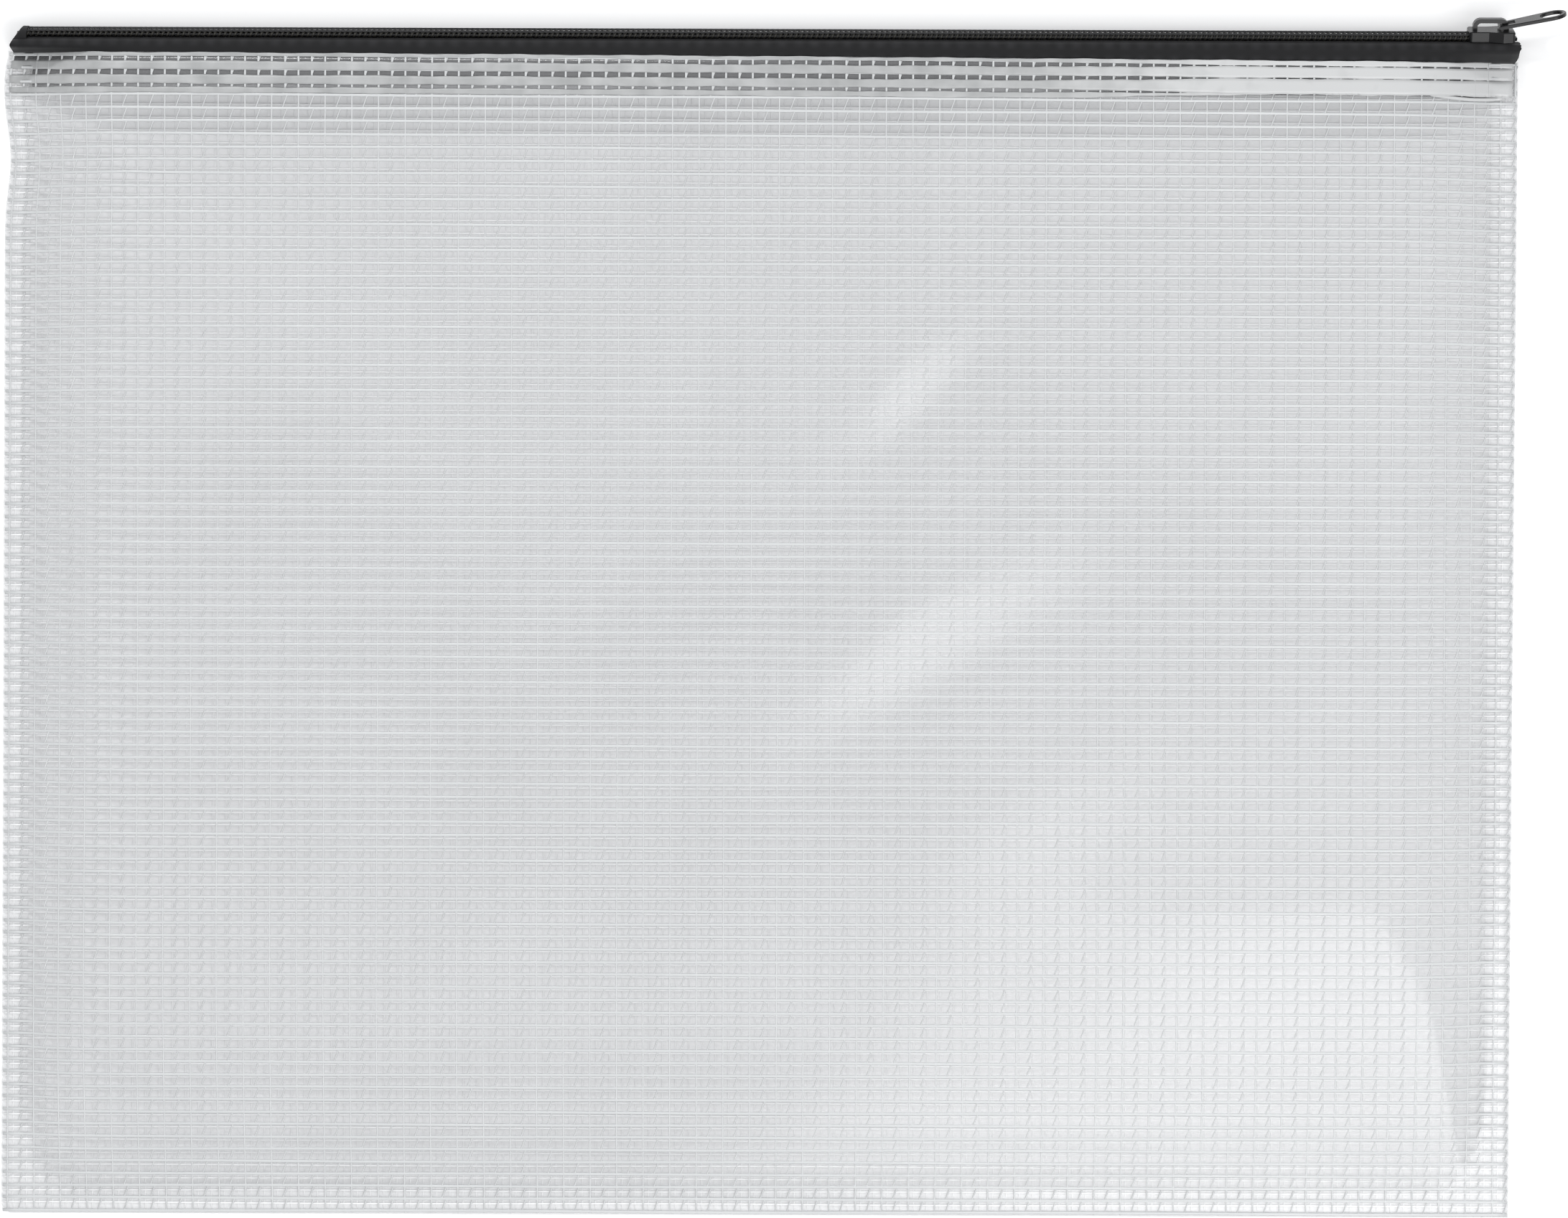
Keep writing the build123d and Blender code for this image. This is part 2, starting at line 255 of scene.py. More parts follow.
def pvc_film():
    material, tree, output = new_material("calendered_pvc_film")
    place = add(tree, "ShaderNodeTexCoord").outputs["Object"]
    clouds = add(tree, "ShaderNodeTexNoise", {"Vector": place, "Scale": per_mm(45), "Detail": 3.0})
    haze = add(
        tree,
        "ShaderNodeMapRange",
        {
            "Value": clouds.outputs["Fac"],
            "From Min": 0.3,
            "From Max": 0.7,
            "To Min": 0.14,
            "To Max": 0.18,
        },
    )
    height = add(tree, "ShaderNodeSeparateXYZ", {0: place}).outputs["Y"]
    clearer = add(
        tree,
        "ShaderNodeMapRange",
        {
            "Value": height,
            "From Min": half_height - 6.8 * MM,
            "From Max": half_height - 5.5 * MM,
            "To Min": 1.0,
            "To Max": 0.5,
        },
    )
    turns = add(tree, "ShaderNodeMath", {0: height, 1: 2 * pi / cross_pitch}, operation="MULTIPLY")
    top_turn = 2 * pi * (half_height - first_cross) / cross_pitch
    from_yarn = add(tree, "ShaderNodeMath", {0: turns.outputs[0], 1: top_turn}, operation="SUBTRACT")
    bands = add(tree, "ShaderNodeMath", {0: from_yarn.outputs[0]}, operation="COSINE")
    # Milkier bands along the cross yarns: partly thicker film, partly painted shading of the film's ribs.
    thick_film_and_painted_rib_shade = add(
        tree,
        "ShaderNodeMapRange",
        {"Value": bands.outputs[0], "From Min": -1.0, "From Max": 1.0, "To Min": 0.8, "To Max": 1.2},
    )
    shadow = add(tree, "ShaderNodeLightPath").outputs["Is Shadow Ray"]
    forwards = add(tree, "ShaderNodeMapRange", {"Value": shadow, "To Min": 1.0, "To Max": 0.25})
    milkiness = haze.outputs[0]
    for share in (clearer, thick_film_and_painted_rib_shade, forwards):
        milkiness = add(
            tree, "ShaderNodeMath", {0: milkiness, 1: share.outputs[0]}, operation="MULTIPLY"
        ).outputs[0]
    grain = add(tree, "ShaderNodeTexNoise", {"Vector": place, "Scale": per_mm(1.5), "Detail": 2.0})
    skin = add(
        tree,
        "ShaderNodeBump",
        {"Height": grain.outputs["Fac"], "Strength": 0.06, "Distance": 0.1 * MM},
    )
    milk = add(
        tree,
        "ShaderNodeBsdfPrincipled",
        {
            "Base Color": linear("#f3f4f6"),
            "Roughness": 0.4,
            "IOR": 1.53,
            "Specular IOR Level": 0.0,
            "Alpha": milkiness,
            "Normal": skin.outputs["Normal"],
        },
    )
    gloss = add(tree, "ShaderNodeBsdfGlossy", {"Roughness": 0.13, "Normal": skin.outputs["Normal"]})
    fresnel = add(tree, "ShaderNodeFresnel", {"IOR": 1.53})
    inner = add(tree, "ShaderNodeNewGeometry").outputs["Backfacing"]
    outer = add(tree, "ShaderNodeMath", {0: 1.0, 1: inner}, operation="SUBTRACT")
    shine = add(
        tree,
        "ShaderNodeMath",
        {0: fresnel.outputs[0], 1: outer.outputs[0]},
        operation="MULTIPLY",
    )
    both = add(
        tree,
        "ShaderNodeMixShader",
        {0: shine.outputs[0], 1: milk.outputs["BSDF"], 2: gloss.outputs["BSDF"]},
    )
    tree.links.new(both.outputs[0], output.inputs["Surface"])
    return material


film_finish = pvc_film()
print("material", film_finish.name)

# %% [markdown]
# ## Polyester yarn under film
# The net is white multifilament yarn. The film is pressed over it, so each yarn is a low glossy ridge. A
# very faint bump, with a wave about every 14 mm along a yarn, keeps its shine from being even. The yarn of
# the front film is drawn a little grey under its coat. The back film's net is the same yarn, given a plain
# white that is painted light: it makes up for the shade that it lies in inside the wallet.


# %% Polyester yarn under film
def coated_yarn(name, dark, light):
    material, tree, output = new_material(name)
    place = add(tree, "ShaderNodeTexCoord").outputs["Object"]
    uneven = add(
        tree,
        "ShaderNodeTexWave",
        {"Vector": place, "Scale": wave_scale(13.823, "DIAGONAL"), "Distortion": 2.0},
        bands_direction="DIAGONAL",
    )
    patches = add(tree, "ShaderNodeTexNoise", {"Vector": place, "Scale": per_mm(20), "Detail": 3.0})
    colour = blend_colours(tree, patches.outputs["Fac"], dark, light)
    bump = add(
        tree,
        "ShaderNodeBump",
        {"Height": uneven.outputs["Fac"], "Strength": 0.2, "Distance": 0.05 * MM},
    )
    shader = add(
        tree,
        "ShaderNodeBsdfPrincipled",
        {"Base Color": colour, "Roughness": 0.2, "IOR": 1.53, "Normal": bump.outputs["Normal"]},
    )
    tree.links.new(shader.outputs["BSDF"], output.inputs["Surface"])
    return material


yarn_finish = coated_yarn("coated_polyester_yarn", "#cdcfd0", "#dadcdc")
# The back net's yarn is painted whiter than the front's: painted light against the shade inside the wallet.
back_yarn_painted_lighter = coated_yarn("polyester_yarn_painted_lighter", "#fcfdfd", "#ffffff")
print("materials", [m.name for m in (yarn_finish, back_yarn_painted_lighter)])

# %% [markdown]
# ## Pressed hem
# Where the hem is pressed on the tape, yarn and film have gone milky in uneven patches. Towards the slider
# it isn't pressed as hard, and it is whiter there.


# %% Pressed hem
loose_start = 60.0 * MM  # from here to the right the hem grows whiter and its edge lifts
loose_full = 120.0 * MM


def pressed_hem():
    material, tree, output = new_material("pressed_yarn_and_film")
    place = add(tree, "ShaderNodeTexCoord").outputs["Object"]
    patches = add(tree, "ShaderNodeTexNoise", {"Vector": place, "Scale": per_mm(6), "Detail": 4.0})
    along_zip = add(tree, "ShaderNodeSeparateXYZ", {0: place}).outputs["X"]
    whiter = add(
        tree,
        "ShaderNodeMapRange",
        {
            "Value": along_zip,
            "From Min": loose_start,
            "From Max": loose_full,
            "To Min": 0.0,
            "To Max": 0.6,
        },
    )
    level = add(
        tree,
        "ShaderNodeMath",
        {0: patches.outputs["Fac"], 1: whiter.outputs[0]},
        use_clamp=True,
    )
    colour = blend_colours(tree, level.outputs[0], "#8f9191", "#cfd0d0")
    bump = add(
        tree,
        "ShaderNodeBump",
        {"Height": patches.outputs["Fac"], "Strength": 0.3, "Distance": 0.1 * MM},
    )
    shader = add(
        tree,
        "ShaderNodeBsdfPrincipled",
        {"Base Color": colour, "Roughness": 0.28, "IOR": 1.53, "Normal": bump.outputs["Normal"]},
    )
    tree.links.new(shader.outputs["BSDF"], output.inputs["Surface"])
    return material


hem_finish = pressed_hem()
print("material", hem_finish.name)

# %% [markdown]
# ## Woven polyester tape
# Zip tape is a dense black warp-faced weave. The real threads stand about 0.3 mm apart. The pattern here is
# much coarser, soft ribs 3.8 mm apart, which only make the tape look a little uneven. Polyester filament
# has a soft sheen, which lifts the black.


# %% Woven polyester tape
def woven_tape():
    material, tree, output = new_material("woven_polyester_tape")
    place = add(tree, "ShaderNodeTexCoord").outputs["Object"]
    ribs = {"Vector": place, "Scale": wave_scale(3.77), "Distortion": 0.6, "Detail Scale": 3.0}
    warp = add(tree, "ShaderNodeTexWave", ribs, bands_direction="X")
    weft = add(tree, "ShaderNodeTexWave", ribs, bands_direction="Y")
    weave = add(
        tree,
        "ShaderNodeMath",
        {0: warp.outputs["Fac"], 1: weft.outputs["Fac"]},
        operation="MULTIPLY",
    )
    fluff = add(tree, "ShaderNodeTexNoise", {"Vector": place, "Scale": per_mm(4), "Detail": 5.0})
    shade = add(
        tree,
        "ShaderNodeMath",
        {0: weave.outputs[0], 1: fluff.outputs["Fac"]},
        operation="MULTIPLY",
    )
    colour = blend_colours(tree, shade.outputs[0], "#202021", "#333335")
    bump = add(
        tree,
        "ShaderNodeBump",
        {"Height": weave.outputs[0], "Strength": 0.5, "Distance": 0.1 * MM},
    )
    shader = add(
        tree,
        "ShaderNodeBsdfPrincipled",
        {
            "Base Color": colour,
            "Roughness": 0.75,
            "Specular IOR Level": 0.2,
            "Sheen Weight": 0.05,
            "Sheen Roughness": 0.4,
            "Normal": bump.outputs["Normal"],
        },
    )
    tree.links.new(shader.outputs["BSDF"], output.inputs["Surface"])
    return material


tape_finish = woven_tape()
print("material", tape_finish.name)

# %% [markdown]
# ## Monofilament, thread and enamel
# The coil is drawn polyester wire with a slight gloss and a warm brown cast. The sewing thread is matt. The
# slider and its tab are die-cast zinc with stoved black enamel: smooth, with a hard highlight, and a little
# greyer where hands rub it.


# %% Monofilament, thread and enamel
def plain_finish(name, dark, light, size, roughness, gloss=0.5):
    """A finish whose colour wanders between two shades in patches of that size in millimetres."""
    material, tree, output = new_material(name)
    place = add(tree, "ShaderNodeTexCoord").outputs["Object"]
    patches = add(tree, "ShaderNodeTexNoise", {"Vector": place, "Scale": per_mm(size), "Detail": 4.0})
    colour = blend_colours(tree, patches.outputs["Fac"], dark, light)
    worn = add(
        tree,
        "ShaderNodeMapRange",
        {"Value": patches.outputs["Fac"], "To Min": roughness * 0.8, "To Max": roughness * 1.2},
    )
    bump = add(
        tree,
        "ShaderNodeBump",
        {"Height": patches.outputs["Fac"], "Strength": 0.2, "Distance": 0.02 * MM},
    )
    shader = add(
        tree,
        "ShaderNodeBsdfPrincipled",
        {
            "Base Color": colour,
            "Roughness": worn.outputs["Result"],
            "Specular IOR Level": gloss,
            "Normal": bump.outputs["Normal"],
        },
    )
    tree.links.new(shader.outputs["BSDF"], output.inputs["Surface"])
    return material


coil_finish = plain_finish("drawn_polyester_monofilament", "#1f1e1a", "#32302a", 3.0, 0.4)
thread_finish = plain_finish("spun_polyester_thread", "#1f1f20", "#303032", 0.8, 0.8)
cord_finish = plain_finish("twisted_polyester_cord", "#202021", "#2c2c2e", 1.0, 0.85)
enamel_finish = plain_finish("stoved_black_enamel", "#0e0e0f", "#19191a", 2.5, 0.26, gloss=0.3)
print("materials", [m.name for m in (coil_finish, thread_finish, cord_finish, enamel_finish)])

# %% [markdown]
# ## The shape of the slack film
# Empty, the front film hangs between the zip, which holds the mouth about a centimetre open, and the welds.
# It climbs from the welds in soft curves, sags a little in the middle, and has the long shallow waves of a
# sheet that was rolled up when it was packed. A formula gives its height at any point, so the film, its
# yarns and the hem all lie on the same surface.


# %% The shape of the slack film
def climb(distance, run):
    """0 at a weld, 1 where the film has levelled out."""
    share = np.clip(distance / run, 0.0, 1.0)
    return 1.0 - (1.0 - share) ** 2


def lifted(x, y):
    """0 on the welded rim, 1 over the open pocket, with soft corners."""
    low_x = 1.0 - climb(seam_x - np.abs(x), side_run)
    low_y = 1.0 - climb(y - seam_y, bottom_run)
    return np.clip(1.0 - np.cbrt(low_x**3 + low_y**3), 0.0, 1.0)


def wave(x, y, middle, reach, height, heading, length):
    """One patch of ripples: where, how far it reaches, how high, which way and how long its waves are."""
    dx = x - middle[0] * MM
    dy = y - middle[1] * MM
    along_wave = (dx * cos(radians(heading)) + dy * sin(radians(heading))) / (length * MM)
    return height * MM * np.exp(-(dx**2 + dy**2) / (reach * MM) ** 2) * np.cos(2 * pi * along_wave)


sag = 2.5 * MM
hem_depth = 8.6 * MM  # the folded hem, over the tape
ripples = [  # middle in mm, reach in mm, height in mm, heading in degrees, wave length in mm
    ((18, 0), 46, 0.8, 122, 56),
    ((36, 71), 26, 0.55, 138, 40),
    ((-60, 40), 80, 0.35, 10, 95),
    ((95, -95), 50, 0.35, 130, 85),
    ((-143, 108), 12, 0.85, 110, 14),
    ((90, 105), 30, 0.18, 100, 16),
]


def front_height(x, y):
    """Height of the front film's outer face."""
    top = np.clip(1.0 - (half_height - y) / (5 * MM), 0.0, 1.0)
    rim = 2 * film + 0.6 * MM * top  # over the tape at the two ends of the zip
    rise = lifted(x, y)
    hang = np.clip((half_height - hem_depth - y) / (2 * half_height - hem_depth), 0.0, 1.0)
    height = rim + rise * (film_top - rim - sag * np.sin(pi * hang) ** 2)
    rippled = sum(wave(x, y, *ripple) for ripple in ripples)
    return height + rippled * rise * np.clip(hang * 12, 0.0, 1.0)


def back_height(x, y):
    """Height of the back film's upper face."""
    return back_high.z + 0.0 * x


def strayed(x, y):
    """Where a point of either film ends up: the cut edges are not quite straight."""
    near_left = np.clip(1.0 - (x + half_width) / (40 * MM), 0.0, 1.0) ** 2
    near_right = np.clip(1.0 - (half_width - x) / (40 * MM), 0.0, 1.0) ** 2
    near_top = np.clip(1.0 - (half_height - y) / (60 * MM), 0.0, 1.0) ** 2
    down = (half_height - y) / MM
    waist = 1.3 * np.exp(-(((down - 24) / 9) ** 2))
    shoulder = 0.3 * np.exp(-(((down - 9) / 6) ** 2))
    top_corner = 0.9 * np.clip(1.0 - down / 5, 0.0, 1.0)
    out_of_square = 1.7 - 1.4 * down * MM / (2 * half_height)
    x_shift = near_left * MM * (waist - shoulder + top_corner) + near_right * MM * out_of_square
    slant = 0.5 - 0.75 * x / half_width - 0.15 * (x / half_width) ** 2
    y_shift = near_top * MM * (slant + 1.0 - lifted(x, half_height))
    return x + x_shift, y + y_shift


middle_height = float(front_height(0.0, 0.0)) / MM
print("the front film stands", round(middle_height, 2), "mm high in the middle")

# %% [markdown]
# ## The two films
# Each film is a closed sheet 0.35 mm thick, on a grid of 2 mm squares. The front one follows the formula
# above, and the back one lies flat. Both are cut to the size of the wallet.


# %% The two films
def film_skin(height, step=2.0 * MM):
    columns = int(round(2 * half_width / step)) + 1
    rows = int(round(2 * half_height / step)) + 1
    x, y = np.meshgrid(
        np.linspace(-half_width, half_width, columns),
        np.linspace(-half_height, half_height, rows),
        indexing="xy",
    )
    z = height(x, y)
    far_x, far_y = strayed(x, y)
    corner_cut = 0.75 * MM  # the lower left corner is a little blunt
    far_x[0, 0] += corner_cut
    far_y[0, 0] += corner_cut
    upper = np.stack([far_x, far_y, z], -1)
    lower = np.stack([far_x, far_y, z - film], -1)
    skin = Skin()
    skin.slab(upper, lower)
    return skin


front_film = make_piece("front_film", film_skin(front_height), film_finish, "wallet")
back_film = make_piece("back_film", film_skin(back_height), film_finish, "wallet")
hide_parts("front_panel")
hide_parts("back_panel")

# %% [markdown]
# ## The yarn net
# The net has a yarn across the wallet every 2.93 mm. Up the wallet, every second yarn is straight and every
# other one is twisted round the cross yarns, so it shows as short slanted ticks. Drawing this in a material
# would leave the film smooth, and the real one is ribbed: each yarn is a ridge that catches the light. So
# every yarn is a thin strip with a rounded back, on the surface that the formula gives. The yarns of the
# front and all cross yarns stand a hair proud of the film. The film has closed over the other uprights.


# %% Ridges
round_back = [(-0.5, 0.0), (-0.3, 0.75), (0.0, 1.0), (0.3, 0.75), (0.5, 0.0)]  # sideways and up


def ridge_rings(x, y, height, width, tall, sunk):
    """Rings of yarns along lines of points: x and y are yarn by point, sunk is the depth of their feet."""
    ahead_x = np.gradient(x, axis=1)
    ahead_y = np.gradient(y, axis=1)
    size = np.sqrt(ahead_x**2 + ahead_y**2)
    z = height(x, y) - sunk
    far_x, far_y = strayed(x, y)
    ring = []
    for sideways, up in round_back:
        ring_x = far_x - ahead_y / size * sideways * width
        ring_y = far_y + ahead_x / size * sideways * width
        ring.append(np.stack([ring_x, ring_y, z + up * tall], -1))
    return np.stack(ring, 2)


# %% Three kinds of yarn
cross_tall = 0.15 * MM
cross_foot = 0.08 * MM
upright_pitch = 3.08 * MM
upright_tall = 0.1 * MM
upright_width = 0.36 * MM
front_cross_width = 0.72 * MM
back_cross_width = 0.42 * MM
back_upright_width = 0.26 * MM
proud = 0.06 * MM  # depth of an upright's foot where the yarn stands proud of the film
buried = 0.16 * MM  # and where the film has closed over it
inside = half_width - 0.3 * MM
bottom = 0.3 * MM - half_height


def cross_yarns(height, offset, low, width):
    """Yarns from side to side, from the film's edge down to low."""
    rows = np.arange(half_height - offset, low, -cross_pitch)
    x = np.linspace(-inside, inside, 110)
    slack = 0.1 * np.sin(x[None] / (23 * MM) + 2.4 * np.arange(len(rows))[:, None])
    y = rows[:, None] + slack * MM
    return ridge_rings(np.broadcast_to(x, y.shape), y, height, width, cross_tall, cross_foot)


def straight_uprights(height, start, low, step, width, sunk, points=84):
    """Yarns from the film's edge down to low, one at each step from start."""
    columns = np.arange(start, inside, step)
    y = np.linspace(half_height - 0.2 * MM, low, points)
    x = np.broadcast_to(columns[:, None], (len(columns), len(y)))
    return ridge_rings(x, np.broadcast_to(y, x.shape), height, width, upright_tall, sunk)


def twisted_uprights(height, start, low, offset, sunk):
    """Each cell's yarn leans from lower left to upper right and hops back under the next cross yarn."""
    columns = np.arange(start, inside, 2 * upright_pitch)
    rows = np.arange(half_height - offset, low + cross_pitch, -cross_pitch)
    hop = 0.15 * MM
    top = rows - hop
    foot = rows - cross_pitch + hop
    y = np.stack([top, foot], 1).reshape(-1)
    lean_over = np.tile([0.45 * MM, -0.55 * MM], len(rows))
    x = columns[:, None] + lean_over[None]
    return ridge_rings(x, np.broadcast_to(y, x.shape), height, upright_width, upright_tall, sunk)


# %% The yarn net
front_net_skin = Skin()
front_net_skin.tubes(cross_yarns(front_height, first_cross, bottom, front_cross_width))
front_start = 1.1 * MM - inside
front_net_skin.tubes(
    straight_uprights(front_height, front_start, bottom, 2 * upright_pitch, upright_width, proud)
)
front_net_skin.tubes(
    twisted_uprights(front_height, front_start + upright_pitch, bottom, first_cross, proud)
)
front_net = make_piece("front_yarn_net", front_net_skin, yarn_finish, "wallet")

back_first_cross = first_cross + 1.2 * MM  # the two nets don't line up
back_net_skin = Skin()
back_net_skin.tubes(cross_yarns(back_height, back_first_cross, bottom, back_cross_width))
back_start = 2.3 * MM - inside
back_net_skin.tubes(
    straight_uprights(back_height, back_start, bottom, upright_pitch, back_upright_width, buried)
)
back_net = make_piece("back_yarn_net", back_net_skin, back_yarn_painted_lighter, "wallet")

# %% [markdown]
# ## The hem
# Along the zip the film is pressed hard on the tape, net on net, and goes white in bands that follow the
# cross yarns. Between the bands the black tape shows as rows of short dashes, parted by the upright yarns.
# Towards the slider the bands grow together, and the loose edge of the hem lifts off, waves and curls.

# %% The hem's surface
hem_side = half_width - 1.2 * MM
hem_thick = 0.12 * MM
hem_rise = 0.14 * MM  # from the film's outer face to the hem's
hem_line = np.linspace(-hem_side, hem_side, 240)


def loosened(x):
    """0 where the hem is pressed flat, 1 where its edge is loose."""
    share = np.clip((x - loose_start) / (loose_full - loose_start), 0.0, 1.0)
    return share * share * (3.0 - 2.0 * share)


def hem_height(x, y):
    """Height of the hem's upper face: on the film, rising to its loose edge on the right."""
    edge = np.clip((half_height - y) / hem_depth, 0.0, 1.0) ** 2
    waves = MM * (0.8 + 0.3 * np.sin(x / (6 * MM)))
    return front_height(x, y) + hem_rise + edge * loosened(x) * waves


def hem_band(skin, pressed, loose):
    """A white band between two depths below the film's edge, in millimetres, pressed and loose."""
    share = loosened(hem_line)[:, None]
    span = np.linspace(0.0, 1.0, 5)[None]
    depth = (1.0 - share) * (pressed[0] + span * (pressed[1] - pressed[0]))
    depth = depth + share * (loose[0] + span * (loose[1] - loose[0]))
    ragged = 0.06 * np.sin(hem_line / (1.3 * MM)) + 0.08 * np.sin(hem_line / (5.3 * MM))
    y = half_height - (depth + ragged[:, None] * (2 * span - 1)) * MM
    x = np.broadcast_to(hem_line[:, None], y.shape)
    z = hem_height(x, y)
    far_x, far_y = strayed(x, y)
    upper = np.stack([far_x, far_y, z], -1)
    lower = np.stack([far_x, far_y, z - hem_thick], -1)
    skin.slab(lower, upper)


# %% Bands and curl
hem_bands = [  # from and to, where the hem is pressed, and the same where it is loose
    ((0.1, 0.85), (0.1, 1.25)),
    ((1.95, 3.9), (1.5, 4.15)),
    ((5.05, 7.05), (4.3, 7.9)),
    ((7.8, 9.1), (7.7, 8.0)),
]
hem_skin = Skin()
for pressed, loose in hem_bands:
    hem_band(hem_skin, pressed, loose)
curl_start = 155 * MM
curl_length = 16.5 * MM
curl_radius = 0.45 * MM
curl_share = np.linspace(0.0, 1.0, 24)
curl_x = curl_start + curl_share * curl_length
curl_y = half_height - (7.6 + np.sin(2.4 * curl_share)) * MM
curl = np.stack([*strayed(curl_x, curl_y), front_height(curl_x, curl_y) + curl_radius], -1)
hem_skin.tubes(wire_rings(curl, curl_radius, 8, np.array([0.0, 0.0, 1.0])))
front_hem = make_piece("front_hem", hem_skin, hem_finish, "wallet")

# %% The hem's yarns
hem_foot = half_height - 8.0 * MM
hem_yarn_width = 0.5 * MM
hem_yarn_skin = Skin()
hem_yarn_skin.tubes(
    straight_uprights(hem_height, front_start, hem_foot, upright_pitch, hem_yarn_width, buried, points=9)
)
front_hem_yarns = make_piece("front_hem_yarns", hem_yarn_skin, yarn_finish, "wallet")

# %% [markdown]
# ## The zip tapes
# Each tape is welded to its film, then bends round to the teeth. In section it is a level flap, a bend and
# a flat strip. The section is swept along the zip. The left end is folded under on a slant, and the right
# end is cut, so the weave frays into small scallops.

# %% The tapes' section
tape = 0.5 * MM
tape_flap = 8.0 * MM
flap_side = seam_x - 1.5 * MM
tape_inner = 1.25 * MM
tape_flat = 4.0 * MM
tape_bend = 1.25 * MM
bend_steps = 8
strip_left = 2.0 * MM - half_width
strip_right = 1.0 * MM + half_width
end_slant = 1.6 * MM
fray_depth = 0.45 * MM
fray_back = 0.3 * MM


def bend_points(hand, level_angle):
    """Middle line of a tape from its level part round the bend to the teeth, as Y and Z."""
    flat_end = zip_point(0.0, hand * tape_flat, 0.0)[1:]
    centre = flat_end - tape_bend * out[1:]
    turn = np.linspace(level_angle, lean, bend_steps)
    bend = centre + tape_bend * np.stack([np.cos(turn), np.sin(turn)], -1)
    edge = zip_point(0.0, np.linspace(hand * tape_flat, hand * tape_inner, 5)[1:], 0.0)[:, 1:]
    return np.concatenate([bend, edge])


def swept_tape(skin, x, line_y, line_z):
    """A tape on its middle line. x, line_y and line_z are place along the zip by place round the bend."""
    ahead_y = np.gradient(line_y, axis=1)
    ahead_z = np.gradient(line_z, axis=1)
    size = np.sqrt(ahead_y**2 + ahead_z**2)
    square_y = -ahead_z / size * tape / 2
    square_z = ahead_y / size * tape / 2
    upper = np.stack([x, line_y + square_y, line_z + square_z], -1)
    lower = np.stack([x, line_y - square_y, line_z - square_z], -1)
    skin.slab(upper, lower)


def end_to_end(around):
    """X of a tape's points from end to end. around runs from 0 at the film to 1 at the teeth."""
    share = np.linspace(0.0, 1.0, 176)
    left = strip_left + end_slant * around
    right = strip_right + fray_depth * np.abs(np.sin(4 * pi * around)) - fray_back
    return left[None] + share[:, None] * (right - left)[None]


# %% Back tape
back_section = bend_points(-1, -pi / 2)
back_run = np.linspace(half_height, back_section[0, 0], 4)[:-1]
back_level = np.stack([back_run, np.full_like(back_run, back_section[0, 1])], -1)
back_line = np.concatenate([back_level, back_section])
back_x = end_to_end(np.linspace(0.0, 1.0, len(back_line)))
back_tape_skin = Skin()
swept_tape(
    back_tape_skin,
    back_x,
    np.broadcast_to(back_line[:, 0], back_x.shape),
    np.broadcast_to(back_line[:, 1], back_x.shape),
)
flap_x, flap_y = np.meshgrid(
    np.linspace(-flap_side, flap_side, 113),
    np.linspace(half_height - tape_flap, half_height, 6),
    indexing="ij",
)
hidden_share = 0.85  # the back flap is shorter than the front one, so that it stays covered
hidden_y = half_height - hidden_share * (half_height - flap_y)
swept_tape(back_tape_skin, flap_x, hidden_y, np.full_like(flap_x, back_section[0, 1]))
back_tape = make_piece("back_woven_tape", back_tape_skin, tape_finish, "wallet")
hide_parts("back_zip_tape")

# %% Front tape
front_section = bend_points(1, pi / 2)
weld_gap = 0.03 * MM  # keeps the faces of tape and film apart
under_film = film + tape / 2 + weld_gap
gusset = np.linspace(0.0, 1.0, 5)[:-1]
front_x = end_to_end(np.linspace(0.0, 1.0, len(gusset) + len(front_section)))
edge_x = np.clip(front_x[:, :1], -half_width, half_width)
edge_y = np.full_like(edge_x, half_height)
edge_z = front_height(edge_x, edge_y) - under_film
slider_room = 0.45 * MM  # the slider's lower plate passes behind the tape
set_back = 0.2 * MM  # the gusset starts that far inside the film's edge
edge_y = np.minimum(strayed(edge_x, edge_y)[1] - set_back, front_section[0, 0] - slider_room)
gusset_y = edge_y + gusset[None] * (front_section[0, 0] - edge_y)
gusset_z = edge_z + gusset[None] * (front_section[0, 1] - edge_z)
repeats = (len(front_x), 1)
front_tape_skin = Skin()
swept_tape(
    front_tape_skin,
    front_x,
    np.concatenate([gusset_y, np.tile(front_section[:, 0], repeats)], 1),
    np.concatenate([gusset_z, np.tile(front_section[:, 1], repeats)], 1),
)
swept_tape(front_tape_skin, *strayed(flap_x, flap_y), front_height(flap_x, flap_y) - under_film)
front_tape = make_piece("front_woven_tape", front_tape_skin, tape_finish, "wallet")
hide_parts("front_zip_tape")

# %% [markdown]
# ## The folded end
# At the left the tape's end is folded over the last teeth and sewn down, so the zip ends in a smooth hump.
# It stops short of the slider's furthest place.

# %% The folded end
hood_along = np.linspace(0.0, 1.0, 16)[:, None]
hood_round = np.linspace(0.0, 1.0, 17)[None]
hood_half = 3.5 * MM
hood_foot = 0.2 * MM
hood_rise = 2.1 * MM
hood_thick = 0.35 * MM
hood_v = hood_half * np.cos(pi * hood_round)
hood_swell = np.clip(hood_along / 0.45, 0.0, 1.0) ** 0.5
hood_n = hood_foot + hood_rise * hood_swell * np.sin(pi * hood_round) ** 0.7
hood_left = strip_left + 0.9 * MM + 1.8 * MM * hood_round  # on a slant, like the tape's end
hood_right = 6.1 * MM - half_width
hood = zip_point(hood_left + hood_along * (hood_right - hood_left), hood_v, hood_n)
hood_skin = Skin()
hood_skin.slab(hood - hood_thick * out, hood)
make_piece("tape_end_fold", hood_skin, tape_finish, "wallet")

# %% [markdown]
# ## The coils
# Each coil is one long wire wound flat round a cord, with a turn every 1.2 mm, and its tips mesh with the
# tips of the other coil half a turn along. The winding is a formula: across and out follow an ellipse, and
# most of the step along the zip is taken at the back of the turn, so that the legs lie square to the zip.

